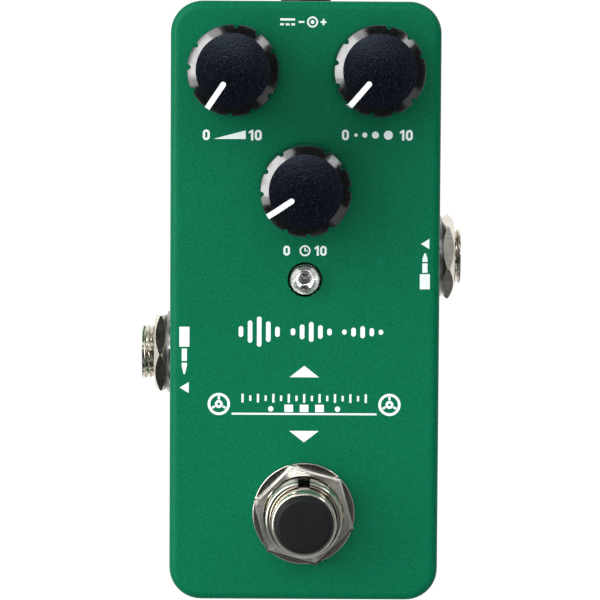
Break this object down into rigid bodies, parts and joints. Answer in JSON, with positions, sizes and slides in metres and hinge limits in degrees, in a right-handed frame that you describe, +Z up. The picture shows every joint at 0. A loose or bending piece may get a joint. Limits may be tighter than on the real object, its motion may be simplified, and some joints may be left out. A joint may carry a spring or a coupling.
{
  "type": "tape echo pedal",
  "caption": "Compact tape echo effect pedal: a narrow metal case with turning knobs, an indicator lamp and a foot switch on top, jacks in its sides and a power socket at the rear.",
  "frame": {"origin": "under the middle of the case, on the floor that the rubber pad rests on", "axes": "+X to the input jack's side, +Y to the rear with the power socket, +Z up"},
  "size_m": [0.051, 0.0943, 0.047],
  "materials": {
    "green_case": "satin",
    "plate_metal": "satin",
    "pad_rubber": "matte",
    "steel": "satin",
    "board": "satin",
    "black_plastic": "satin",
    "switch_plastic": "satin",
    "contact_brass": "satin",
    "pot_metal": "satin",
    "shaft_metal": "satin",
    "knob_plastic": "satin",
    "pointer_white": "satin",
    "clear_lens": "gloss",
    "bright_chrome": "mirror",
    "cap_plastic": "satin",
    "can_metal": "satin",
    "resistor_ceramic": "matte"
  },
  "bodies": {
    "pedal_body": {"base_plate": "plate_metal", "base_screws": "steel", "capacitors": "can_metal", "control_board": "board", "delay_chip": "black_plastic", "enclosure": "green_case", "header_blocks": "black_plastic", "header_pins": "contact_brass", "input_jack_bushing": "bright_chrome", "input_jack_case": "black_plastic", "input_jack_nut": "bright_chrome", "input_jack_sleeve_lug": "contact_brass", "input_jack_tip_leaf": "contact_brass", "jack_lock_washers": "steel", "jack_washers": "bright_chrome", "lamp_leads": "steel", "lamp_lens": "clear_lens", "lamp_spacer": "black_plastic", "level_pot_case": "pot_metal", "level_pot_legs": "steel", "main_board": "board", "op_amp": "black_plastic", "output_jack_bushing": "bright_chrome", "output_jack_case": "black_plastic", "output_jack_nut": "bright_chrome", "output_jack_sleeve_lug": "contact_brass", "output_jack_tip_leaf": "contact_brass", "pot_nuts": "steel", "pot_washers": "steel", "power_socket_case": "black_plastic", "power_socket_leaf": "contact_brass", "power_socket_pin": "contact_brass", "regulator": "black_plastic", "repeat_pot_case": "pot_metal", "repeat_pot_legs": "steel", "resistors": "resistor_ceramic", "rubber_pad": "pad_rubber", "switch_arms": "contact_brass", "switch_bushing": "bright_chrome", "switch_case": "switch_plastic", "switch_inner_nut": "steel", "switch_lock_washer": "steel", "switch_lugs": "contact_brass", "switch_nut": "bright_chrome", "switch_rocker": "black_plastic", "switch_spring": "steel", "switch_washer": "bright_chrome", "time_pot_case": "pot_metal", "time_pot_legs": "steel"},
    "level_control": {"level_knob": "knob_plastic", "level_pointer": "pointer_white", "level_shaft": "shaft_metal"},
    "repeat_control": {"repeat_knob": "knob_plastic", "repeat_pointer": "pointer_white", "repeat_shaft": "shaft_metal"},
    "time_control": {"time_knob": "knob_plastic", "time_pointer": "pointer_white", "time_shaft": "shaft_metal"},
    "foot_button": {"plunger": "bright_chrome", "plunger_cap": "cap_plastic"}
  },
  "joints": [
    {"name": "level_turn", "type": "hinge", "parent": "pedal_body", "child": "level_control", "pos_m": [-0.0111, 0.036, 0.0331], "axis": [0, 0, -1], "range_deg": [-4, 296]},
    {"name": "repeat_turn", "type": "hinge", "parent": "pedal_body", "child": "repeat_control", "pos_m": [0.0111, 0.036, 0.0331], "axis": [0, 0, -1], "range_deg": [-10.6, 289.4]},
    {"name": "time_turn", "type": "hinge", "parent": "pedal_body", "child": "time_control", "pos_m": [0, 0.0178, 0.0331], "axis": [0, 0, -1], "range_deg": [-26.3, 273.7]},
    {"name": "foot_press", "type": "slide", "parent": "pedal_body", "child": "foot_button", "axis": [0, 0, -1], "range_m": [0, 0.003], "stiffness_N_per_m": 2500, "springref_m": -0.003, "deforming": ["switch_spring"]}
  ]
}
